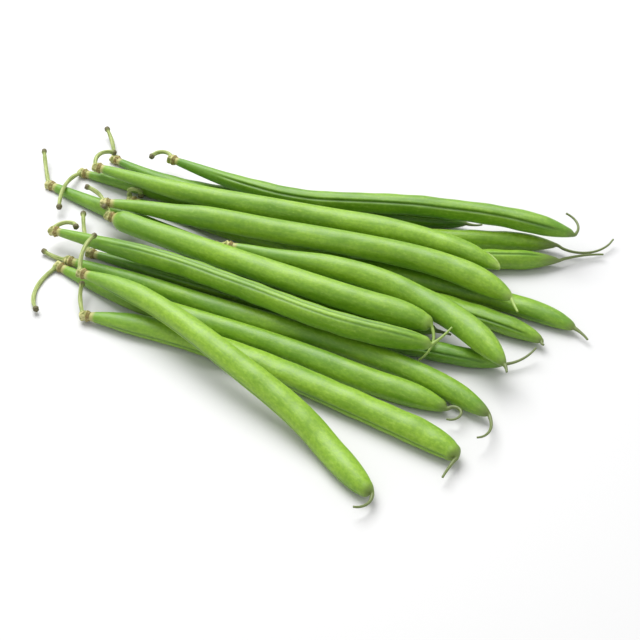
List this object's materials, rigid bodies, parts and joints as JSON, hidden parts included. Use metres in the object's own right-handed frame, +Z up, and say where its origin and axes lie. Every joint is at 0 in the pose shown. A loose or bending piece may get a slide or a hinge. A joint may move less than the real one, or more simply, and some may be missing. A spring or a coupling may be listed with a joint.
{
  "type": "green bean bundle",
  "caption": "Loose bunch of whole fresh green beans lying in two layers, with the cut stems fanned out at one end and thin curled tails at the other.",
  "frame": {"origin": "middle of the bunch's footprint, on the surface it lies on", "axes": "+X from the stem ends towards the tails, +Z up from the surface, +Y towards the rear beans"},
  "size_m": [0.1986, 0.1854, 0.0155],
  "materials": {
    "pod": "satin",
    "shaded_pod": "satin",
    "stem": "matte"
  },
  "bodies": {
    "root": {"bean_01_pod": "pod", "bean_01_stem": "stem", "bean_02_pod": "pod", "bean_02_stem": "stem", "bean_03_pod": "pod", "bean_03_stem": "stem", "bean_04_pod": "pod", "bean_04_stem": "stem", "bean_05_pod": "pod", "bean_05_stem": "stem", "bean_06_pod": "pod", "bean_06_stem": "stem", "bean_07_pod": "pod", "bean_07_stem": "stem", "bean_08_pod": "shaded_pod", "bean_08_stem": "stem", "bean_09_pod": "pod", "bean_09_stem": "stem", "bean_10_pod": "pod", "bean_10_stem": "stem", "bean_11_pod": "pod", "bean_11_stem": "stem", "bean_12_pod": "pod", "bean_12_stem": "stem", "bean_13_pod": "pod", "bean_13_stem": "stem", "bean_14_pod": "pod", "bean_14_stem": "stem", "bean_15_pod": "pod", "bean_15_stem": "stem", "bean_16_pod": "shaded_pod", "bean_16_stem": "stem", "bean_17_pod": "pod", "bean_17_stem": "stem"}
  },
  "joints": []
}
